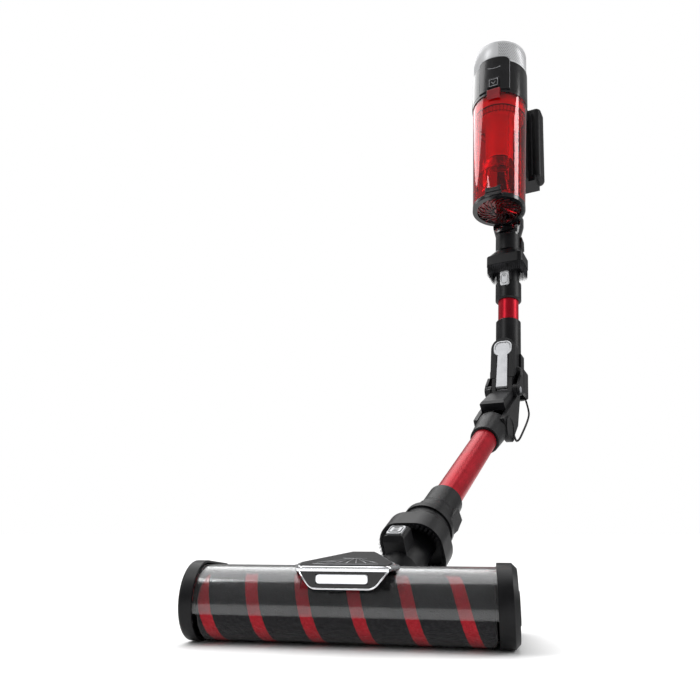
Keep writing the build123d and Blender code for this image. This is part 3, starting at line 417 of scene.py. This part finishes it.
def moved(spot, length, corner, r):
    """A point and its outward angle, taken along a straight run or round a corner."""
    x, y, a = spot
    if not corner:
        return x - sin(a) * length, y + cos(a) * length, a
    mid_x, mid_y = x - r * cos(a), y - r * sin(a)
    a += length / r
    return mid_x + r * cos(a), mid_y + r * sin(a), a


def round_rect(wide, deep, r, steps, cx=0.0, cy=0.0):
    """Evenly spaced (x, y, outward angle) round a rounded rectangle, in mm."""
    quarter = pi * r / 2
    runs = [(wide - 2 * r, False), (quarter, True), (deep - 2 * r, False), (quarter, True)] * 2
    total = sum(length for length, _ in runs)
    out = []
    for k in range(steps):
        left = total * k / steps
        spot = cx - wide / 2 + r, cy - deep / 2, -pi / 2
        for length, corner in runs:
            if left <= length:
                break
            left -= length
            spot = moved(spot, length, corner, r)
        out.append(moved(spot, left, corner, r))
    return out


def jitter(k, spread):
    """Repeatable number, mostly within spread of 0."""
    return spread * noise.noise(Vector((k * 12.9898, k * 0.731, k * 3.77))) * 2


# ---- roller ----------------------------------------------------------------------------
PILE = pile_material()
FIBRES = 15000
PILE_TALL = 1.5  # mm
FIBRE_THICK = 0.32 * MM
ROLLER_END = 3 * MM  # length over which each end rolls in


def roller_pile():
    """Pile roller with its ends rolled in and its surface ruffled, under a coat of short fibres."""
    bm = bmesh.new()
    rings = []
    along, around = 260, 150
    core = ROLLER_R - PILE_TALL * MM
    for i in range(along + 1):
        x = -ROLLER_HALF + 2 * ROLLER_HALF * i / along
        end = min(1.0, (ROLLER_HALF - abs(x)) / ROLLER_END)
        r = core - 2.5 * MM * (1 - end) ** 2
        ring = []
        for a in angles(around):
            ruffle = 0.35 * MM * noise.noise(Vector((x * 260, cos(a) * 7, sin(a) * 7)))
            ring.append(ROLLER_MID + Vector((x, (r + ruffle) * cos(a), (r + ruffle) * sin(a))))
        rings.append(ring)
    made = skin_rings(bm, rings)
    bm.faces.new(made[0])
    bm.faces.new(made[-1])
    golden = pi * (3 - 5 ** 0.5)
    for k in range(FIBRES):
        x = -ROLLER_HALF + ROLLER_END + 2 * (ROLLER_HALF - ROLLER_END) * (k + 0.5) / FIBRES
        a = golden * k
        out = Vector((0, cos(a), sin(a)))
        lean = Vector((jitter(k, 0.5), -sin(a) * jitter(k + 7, 0.6), cos(a) * jitter(k + 7, 0.6)))
        root = ROLLER_MID + Vector((x, 0, 0)) + out * (core - 0.3 * MM)
        long = (PILE_TALL + jitter(k + 3, 0.25)) * MM
        spike(bm, root, root + (out + lean * 0.5).normalized() * long, FIBRE_THICK)
    piece("roller_pile", bm, PILE, "roller", hides=("roller_velour",))


roller_pile()


# ---- brushes ---------------------------------------------------------------------------
TUFT_FIBRES = 26
TUFT_R = 1.25  # mm
BRISTLE_THICK = 0.42 * MM
SPIRAL = 2.4  # radians from one fibre of a tuft to the next


def tufts(name, body, at, path, z_root, z_tip, splay, hides):
    """Tufts of tapered fibres set along a path, pointing down the wand."""
    bm = bmesh.new()
    for i, (x, y, a) in enumerate(path):
        out = Vector((cos(a), sin(a), 0))
        for f in range(TUFT_FIBRES):
            turn = f * SPIRAL
            off = Vector((cos(turn), sin(turn), 0)) * TUFT_R * (f / TUFT_FIBRES) ** 0.5
            root = Vector((x, y, z_root)) + off
            spread = off * 0.35 + out * (splay + jitter(i * 31 + f, 0.5))
            tip = Vector((root.x, root.y, z_tip + abs(jitter(i * 17 + f, 1.2)))) + spread
            spike(bm, root * MM, tip * MM, BRISTLE_THICK)
    piece(name, bm, BRISTLE, body, at, hides=hides)


LOWER_TUFTS = round_rect(65.6, 59.6, 24, 46)
UPPER_TUFTS = round_rect(60.4, 41.2, 6, 54, 0, -6)
tufts("lower_tufts", "lower_brush", LOWER, LOWER_TUFTS, 92, 62.4, 2.0, ("lower_brush_bristles",))
tufts("upper_tufts", "upper_brush", UPPER, UPPER_TUFTS, 268, 236.5, 0.2, ("upper_brush_bristles",))


# ---- hose and cable through the fold ---------------------------------------------------
HOSE_STEP = 2 * MM  # half a rib
CABLE_R = 1.6 * MM


def bending(name, bm, replaced):
    """Rubber piece bent round the fold as it stands now, in place of a CAD node, baked into world space."""
    obj = piece(name, bm, RUBBER, None)
    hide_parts(replaced)
    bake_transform(obj)


def hose_route():
    """Axis of the hose: along the lower wand, round the fold, along the upper wand."""
    low_end = LOWER @ Vector((0, 0, (fold_point - LOWER.translation).dot(lower_dir)))
    high_end = UPPER @ Vector((0, 0, fold_z))
    points = [low_end - lower_dir * HOSE_STEP * k for k in range(52, 0, -1)]
    start, stop = low_end - fold_point, high_end - fold_point
    swing = start.angle(stop)
    steps = 12
    hinge = start.cross(stop).normalized()
    for k in range(steps + 1):
        points.append(fold_point + Matrix.Rotation(swing * k / steps, 3, hinge) @ start)
    points += [high_end + upper_dir * HOSE_STEP * k for k in range(1, 36)]
    return points


def fold_hose():
    """Ribbed hose bent round the fold."""
    route = hose_route()
    bm = bmesh.new()
    radii = [(12.9 if i % 2 else 11.4) * MM for i in range(len(route))]
    tube_along(bm, route, radii, sides=40, normal=side)
    bending("fold_hose", bm, "flex_hose")


fold_hose()


def fold_cable():
    """Thin signal cable held at both ends, looping down beside the fold."""
    below = (28.6, 16, 431), (28.4, 27, 434), (27.6, 33, 448), (26, 37, 472)
    above = (25, 36, -12), (24, 33, 2), (22, 26, 13.3)
    route = [LOWER @ (Vector(p) * MM) for p in below] + [UPPER @ (Vector(p) * MM) for p in above]
    curve = bpy.data.curves.new("fold_cable_route", "CURVE")
    curve.dimensions = "3D"
    curve.resolution_u = 16
    spline = curve.splines.new("NURBS")
    spline.points.add(len(route) - 1)
    for point, at in zip(spline.points, route):
        point.co = (*at, 1)
    spline.order_u = 3
    spline.use_endpoint_u = True
    guide = bpy.data.objects.new("fold_cable_route", curve)
    line = [v.co.copy() for v in bpy.data.meshes.new_from_object(guide).vertices]
    bpy.data.objects.remove(guide)
    bm = bmesh.new()
    tube_along(bm, line, CABLE_R, sides=12, normal=side)
    bending("fold_cable", bm, "flex_cable")


fold_cable()

# ---- bin -------------------------------------------------------------------------------
BIN_Y = -57.0  # the bin's and the motor housing's axis, in mm from the wand's
BIN_AXIS = UPPER @ Matrix.Translation((0, BIN_Y * MM, 0))
# Plain red of the filter mesh, then the dark red of its holes, which is painted shade.
MESH_TONE_AND_HOLE_SHADE = (0.95, 0.12, 0.15), (0.45, 0.02, 0.03)
CONE_RED = dotted("filter_mesh", *MESH_TONE_AND_HOLE_SHADE, 0.35, 25 * MM, 2.6 * MM, 456 * MM, 546 * MM)
SLEEVE_SIDE = [(22, 452), (24, 452), (24.6, 455), (26.6, 547)]
SLEEVE_RIM = [(46.2, 553), (46.2, 576.9), (44, 576.9), (44, 556), (24, 550)]
SLEEVE = turned(SLEEVE_SIDE + SLEEVE_RIM)
piece("filter_sleeve", SLEEVE, CONE_RED, "bin", BIN_AXIS, hides=("filter_cone",))


def seal_rings():
    """Two dark sealing rings inside the top of the bin."""
    bm = bmesh.new()
    for z, r, thick in ((551, 46.6, 1.0), (537, 46.4, 0.5)):
        rings = []
        for a in angles(96):
            p = Vector((r * cos(a) * MM, (BIN_Y + r * sin(a)) * MM, z * MM))
            out = Vector((cos(a), sin(a), 0))
            rings.append([p + (out * cos(t) + Vector((0, 0, 1)) * sin(t)) * thick * MM for t in angles(10)])
        skin_rings(bm, rings, closed=True)
    piece("bin_seals", bm, RUBBER, "bin", UPPER)


def bin_ribs():
    """Upright ribs moulded on the inside of the clear bin, which widens upwards."""
    bm = bmesh.new()
    for angle in (-160, -150, -128, -52, -30, -20, 10, 170):
        a = radians(angle)
        out = Vector((cos(a), sin(a), 0))
        points = [Vector((0, BIN_Y, z)) + out * (43.5 + (z - 353) * 4 / 224) for z in range(372, 541, 12)]
        tube_along(bm, [p * MM for p in points], 0.8 * MM, 8, normal=out)
    piece("bin_ribs", bm, RED_CLEAR, "bin", UPPER)


def filter_slats():
    """Upright slats round the top of the filter."""
    bm = bmesh.new()
    for a in angles(40):
        out = Vector((cos(a), sin(a), 0))
        points = [Vector((0, BIN_Y, z)) + out * r for z, r in ((540, 40), (553, 44.5), (572, 45.0))]
        tube_along(bm, [p * MM for p in points], 0.9 * MM, 8, normal=out)
    piece("filter_slats", bm, RED, "bin", UPPER)


seal_rings()
bin_ribs()
filter_slats()


def lid_swirl():
    """Curved fins under the bin lid's window, round an open middle."""
    bm = bmesh.new()
    foot, top = (Vector((0, 0, z * MM)) for z in (345.6, 348.2))
    parts, half = 8, 0.6
    for start in angles(18):
        left, right = [], []
        for i in range(parts + 1):
            t = i / parts
            r = 8 + 29 * t
            a = start + 0.9 * t * t
            for edge, wide in ((left, -half), (right, half)):
                x, y = r * cos(a) - wide * sin(a), r * sin(a) + wide * cos(a)
                edge.append(Vector((x * MM, (BIN_Y + y) * MM, 0)))
        for i in range(parts):
            quad = [left[i], left[i + 1], right[i + 1], right[i]]
            low = [bm.verts.new(p + foot) for p in quad]
            high = [bm.verts.new(p + top) for p in quad]
            bm.faces.new(low)
            bm.faces.new(high)
            for j in range(4):
                bm.faces.new((low[j], low[(j + 1) % 4], high[(j + 1) % 4], high[j]))
    bmesh.ops.remove_doubles(bm, verts=bm.verts, dist=1e-6)
    piece("lid_swirl", bm, GLOSS, "bin_lid", UPPER, smooth=False)


lid_swirl()

# ---- exhaust cap -----------------------------------------------------------------------
CAP_LOW, CAP_TOP = 655.3, 711.0
CAP_R, CAP_ROUND = 50.6, 5
# Pale tone of the cap, then the near-black of its holes, which is painted shade.
CAP_TONE_AND_HOLE_SHADE = (0.55, 0.555, 0.565), (0.02, 0.02, 0.022)
CAP_DOTS = dotted("cap_perforated", *CAP_TONE_AND_HOLE_SHADE, 0.36, 50 * MM, 3.8 * MM, 660 * MM, 703 * MM, 0.012, 0.2)


def exhaust_cap():
    """Pale cap with a rounded shoulder and a dished, slatted top."""
    wall = [(48.4, CAP_LOW), (CAP_R, CAP_LOW), (CAP_R, CAP_TOP - 9)]
    middle = CAP_R - CAP_ROUND, CAP_TOP - CAP_ROUND
    shoulder = [(middle[0] + CAP_ROUND * cos(a), middle[1] + CAP_ROUND * sin(a)) for a in sweep(0, 91, 10)]
    dish = [(43, CAP_TOP), (42, CAP_TOP - 1.6), (1.0, CAP_TOP - 0.6)]
    inside = [(1.0, CAP_TOP - 3.5), (43.5, CAP_TOP - 4), (48.4, CAP_TOP - 8)]
    shell = turned(wall + shoulder + dish + inside, steps=128)
    piece(
        "exhaust_shell", shell, CAP_DOTS, "handheld", BIN_AXIS, hides=("exhaust_cap",)
    )
    bm = bmesh.new()
    for a in angles(48):
        out = Vector((cos(a), sin(a), 0))
        points = [out * r * MM + Vector((0, 0, (CAP_TOP - 1.0) * MM)) for r in (12, 20, 28, 36)]
        tube_along(bm, points, 0.7 * MM, 8)
    piece("exhaust_slats", bm, GLOSS, "handheld", BIN_AXIS)


exhaust_cap()


# ---- front controls --------------------------------------------------------------------
PANEL_R = 54.1  # mm, just proud of the front panel
BUTTON_X, BUTTON_Z = 5, 599  # middle of the mode button
BUTTON_FACE = BIN_Y - 52.0 - 2.65  # its front


def on_housing(x, z):
    """Point on the front of the round housing."""
    return Vector((x, BIN_Y - (PANEL_R * PANEL_R - x * x) ** 0.5, z)) * MM


def panel_lines():
    """Thin bright outline of the front panel, a curved crease, and the button's frame and arrow."""
    bm = bmesh.new()
    corner, half, mid, low, high = 9, 28.6, 4, 586, 663.2
    left, right, inset, shoulder = mid - half, mid + half, half - corner, high - corner
    quarter = sweep(10, 91, 10)
    outline = [(left, low + (shoulder - low) * i / 6) for i in range(7)]
    outline += [(left + corner * (1 - cos(a)), shoulder + corner * sin(a)) for a in quarter]
    outline += [(left + corner + 2 * inset * i / 8, high) for i in range(1, 9)]
    outline += [(right - corner + corner * sin(a), shoulder + corner * cos(a)) for a in quarter]
    outline += [(right, shoulder - (shoulder - low) * i / 6) for i in range(1, 7)]
    tube_along(bm, [on_housing(x, z) for x, z in outline], 0.35 * MM, 6)
    crease = [(BUTTON_X + 12 * cos(a), 640 + 5 * sin(a)) for a in sweep(190, 351, 16)]
    tube_along(bm, [on_housing(x, z) for x, z in crease], 0.4 * MM, 6)
    piece("panel_outline", bm, SILVER, "handheld", UPPER)
    bm = bmesh.new()
    square = (-8, -8), (8, -8), (8, 8), (-8, 8), (-8, -8)
    arrow = (-4, 2), (0, -3), (4, 2)
    for shape, thick in ((square, 0.45), (arrow, 0.5)):
        line = [Vector((BUTTON_X + x, BUTTON_FACE, BUTTON_Z + z)) * MM for x, z in shape]
        tube_along(bm, line, thick * MM, 6, normal=BACKWARDS)
    piece("button_mark", bm, SILVER, "mode_button", UPPER)


panel_lines()

# ---- head trim -------------------------------------------------------------------------
plate_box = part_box("top_plate")
DECK_FRONT_Z = 59.5 * MM
slope = atan(7.0 / 113.0)  # the top plate's rise to the back
deck_up = Vector((0, -sin(slope), cos(slope)))
DECK = axes(Vector((0, plate_box[0].y, DECK_FRONT_Z)), Vector((1, 0, 0)), deck_up)


def rounded_path(points, radius, steps=6):
    """Polyline in the plane with its inner corners rounded."""
    out = [Vector(points[0])]
    for a, b, c in zip(points, points[1:], points[2:]):
        a, b, c = Vector(a), Vector(b), Vector(c)
        start = b + (a - b).normalized() * min(radius, (a - b).length / 2)
        stop = b + (c - b).normalized() * min(radius, (c - b).length / 2)
        for k in range(steps + 1):
            t = k / steps
            out.append((1 - t) ** 2 * start + 2 * t * (1 - t) * b + t * t * stop)
    out.append(Vector(points[-1]))
    return out


def deck_trim():
    """Chrome bead round the deck, a thin bead under the light and the deck's line pattern."""
    bm = bmesh.new()
    edge = [(-12, 110, 0), (-37, 22, 0), (-32.5, 0.5, 0), (38.5, 0.5, 0), (41, 22, 0), (12, 110, 0)]
    tube_along(bm, [p * MM for p in rounded_path(edge, 6)], 1.7 * MM, 12)
    piece("deck_bead", bm, CHROME, "head", DECK)
    bm = bmesh.new()
    under = [(-31.5, -72.2, 57.5), (-22.3, -72.2, 44.4), (27.3, -72.2, 44.4), (38.5, -72.2, 57.5)]
    tube_along(bm, [p * MM for p in rounded_path(under, 5)], 0.7 * MM, 10, normal=BACKWARDS)
    piece("light_bead", bm, CHROME, "head", HEAD)
    bm = bmesh.new()
    mid, up = 3, 2.3
    lines = []
    for k in range(-3, 4):
        lines.append([(mid + 8 * k, 12 + abs(k) * 1.5, up), (mid + 8 * k * 0.35, 46 - abs(k) * 2, up)])
    for wide, y in ((26, 9), (10, 52)):
        lines.append([(mid + wide * cos(a), y - 3 * sin(a), up) for a in sweep(0, 181, 15)])
    for line in lines:
        tube_along(bm, [Vector(p) * MM for p in line], 0.35 * MM, 6)
    piece("deck_pattern", bm, SILVER, "head", DECK)


deck_trim()

cap_low, cap_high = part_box("end_cap_right")
OVAL_MID = Vector((cap_high.x, (cap_low.y + cap_high.y) / 2, (cap_low.z + cap_high.z) / 2))
OVAL_DEEP, OVAL_TALL = 9, 17  # half width and half height
OVAL_STEPS = (0, -1.0), (0, 0.3), (-0.6, 0.7), (-2.0, 0.9), (-5.0, 1.0), (-8.2, 1.0)  # growth, height


def oval(grow, out, extra=0):
    """Points of the end cap's oval, grown and raised by so many mm."""
    wide, tall = OVAL_DEEP + grow, OVAL_TALL + grow
    return [OVAL_MID + Vector((out, wide * cos(a), tall * sin(a))) * MM for a in angles(48, extra)]


def cap_inlay():
    """Raised glossy oval on the right end cap, with a bright silver ring round it as a painted highlight."""
    bm = bmesh.new()
    made = skin_rings(bm, [oval(grow, out) for grow, out in OVAL_STEPS])
    bm.faces.new(made[0])
    bm.faces.new(made[-1])
    piece("cap_inlay", bm, GLOSS, "head")
    bm = bmesh.new()
    # Silver ring round the oval: a painted highlight on the glossy oval's rim.
    tube_along(bm, oval(0.3, 0.5, extra=2), 0.45 * MM, 8, normal=Vector((1, 0, 0)))
    piece("cap_highlight_ring", bm, SILVER, "head")


cap_inlay()


def ridge_lines():
    """Fine moulded ridges on the grip's back and the spine's sides, and three rings on the battery."""
    bm = bmesh.new()
    for k in range(9):
        points = [Vector((x, 60.0 - 0.25, 560 + 8 * k)) * MM for x in (-7.5, -4, 0, 4, 7.5)]
        tube_along(bm, points, 0.6 * MM, 8, normal=BACKWARDS)
    for sx in (-1, 1):
        for y in (-2, 6, 14):
            points = [Vector((sx * 20.05, y, z)) * MM for z in (372, 450, 560, 640)]
            tube_along(bm, points, 0.5 * MM, 8, normal=BACKWARDS)
    piece("handle_ridges", bm, RUBBER, "handheld", UPPER)
    bm = bmesh.new()
    for x in (-6, 0, 6):
        lamp = [Vector((x + 1.4 * cos(a), 128.1, 668 + 1.4 * sin(a))) * MM for a in angles(16, 2)]
        tube_along(bm, lamp, 0.35 * MM, 6, normal=BACKWARDS)
    piece("charge_marks", bm, SILVER, "battery", UPPER)


def local_box(name, at):
    """Lowest and highest corners of a CAD node in a local frame."""
    back = at.inverted()
    points = [back @ v.co for v in nodes[name].data.vertices]
    return [Vector([pick(p[i] for p in points) for i in range(3)]) for pick in (min, max)]


def framed(bm, at, outline, radius):
    """Closed bar round an outline of (x, z, angle) in mm, about a point in metres."""
    ring = [at + Vector((x, 0, z)) * MM for x, z, _ in outline]
    tube_along(bm, ring + ring[:2], radius * MM, 6, normal=BACKWARDS)


def button_lines():
    """Thin raised marks on the wand release, the head release and the lever's head."""
    bm = bmesh.new()
    framed(bm, Vector((0, -24.2, 226)) * MM, round_rect(11, 19, 5, 40), 0.35)
    dot = [Vector((1.6 * cos(a), -24.2, 232 + 1.6 * sin(a))) * MM for a in angles(16, 2)]
    tube_along(bm, dot, 0.4 * MM, 6, normal=BACKWARDS)
    piece("release_lines", bm, GLOSS, "wand_release", UPPER)
    low, high = local_box("head_release", LOWER)
    face = Vector(((low.x + high.x) / 2, low.y - 0.1 * MM, (low.z + high.z) / 2))
    bm = bmesh.new()
    framed(bm, face, round_rect((high.x - low.x) / MM - 4, (high.z - low.z) / MM - 4, 3, 40), 0.45)
    for z in (-3, 0, 3):
        bar = [face + Vector((x, 0, z)) * MM for x in (-3, 0, 3)]
        tube_along(bm, bar, 0.4 * MM, 6, normal=BACKWARDS)
    piece("head_release_lines", bm, GLOSS, "head_release", LOWER)
    bm = bmesh.new()
    framed(bm, Vector((0, -31.6, 88)) * MM, round_rect(25, 21, 8, 40), 0.45)
    piece("lever_groove", bm, GLOSS, "flex_lever", UPPER)


ridge_lines()
button_lines()


# ---- camera, light and floor ----------------------------------------------------------
CAMERA_AT = Vector((116, -622, 88)) * MM
YAW, PITCH = radians(11), atan(180 / 700)
LENS_WIDE = 36  # mm, for both the lens and the sensor, so the frame is as wide as it is far
cam = bpy.data.objects.new("camera", bpy.data.cameras.new("camera"))
cam.data.lens = LENS_WIDE
cam.data.sensor_width = LENS_WIDE
cam.data.clip_start = 0.01
bpy.context.scene.collection.objects.link(cam)
look = Vector((-sin(YAW) * cos(PITCH), cos(YAW) * cos(PITCH), sin(PITCH)))
cam.location = CAMERA_AT
cam.rotation_euler = look.to_track_quat("-Z", "Y").to_euler()
bpy.context.scene.camera = cam

SKY_SEEN, SKY_LIGHT = 1.0, 0.30  # white backdrop in view, dimmer light from it on the object
world = bpy.data.worlds.new("studio")
world.use_nodes = True
sky = world.node_tree.nodes["Background"]
rays = world.node_tree.nodes.new("ShaderNodeLightPath")
level = world.node_tree.nodes.new("ShaderNodeMapRange")
level.inputs["To Min"].default_value = SKY_LIGHT
level.inputs["To Max"].default_value = SKY_SEEN
world.node_tree.links.new(rays.outputs["Is Camera Ray"], level.inputs["Value"])
world.node_tree.links.new(level.outputs["Result"], sky.inputs["Strength"])
sky.inputs["Color"].default_value = (1, 1, 1, 1)
bpy.context.scene.world = world
bpy.context.scene.view_settings.view_transform = "Standard"

sun = bpy.data.objects.new("overhead", bpy.data.lights.new("overhead", "SUN"))
sun.data.energy = 2.7
sun.data.angle = radians(70)
sun.rotation_euler = (radians(-18), radians(-14), 0)
bpy.context.scene.collection.objects.link(sun)


def softbox(name, at, target, wide, high, power):
    """Rectangular studio light aimed at a point."""
    light = bpy.data.objects.new(name, bpy.data.lights.new(name, "AREA"))
    light.data.shape = "RECTANGLE"
    light.data.size = wide
    light.data.size_y = high
    light.data.energy = power
    light.location = at
    light.rotation_euler = (Vector(target) - Vector(at)).to_track_quat("-Z", "Y").to_euler()
    bpy.context.scene.collection.objects.link(light)


softbox("key", (-1.3, -0.7, 1.5), (0.1, 0.3, 0.4), 0.5, 1.6, 16)
softbox("rim", (1.5, 0.5, 1.0), (0.15, 0.4, 0.5), 0.4, 1.6, 14)

SPAN = 12.0
FLOOR_Z = -0.0002  # just under the wheels
floor_mesh = bpy.data.meshes.new("floor")
corners = [(x * SPAN, y * SPAN, FLOOR_Z) for x, y in ((-1, -1), (1, -1), (1, 1), (-1, 1))]
floor_mesh.from_pydata(corners, [], [(0, 1, 2, 3)])
floor = bpy.data.objects.new("floor", floor_mesh)
bpy.context.scene.collection.objects.link(floor)
FLOOR_TONES = (0.97, 0.97, 0.97), (0.99, 0.99, 0.99)
floor_mesh.materials.append(plastic("floor_white", *FLOOR_TONES, 0.9, grain=200, strength=0.02, edge=0))
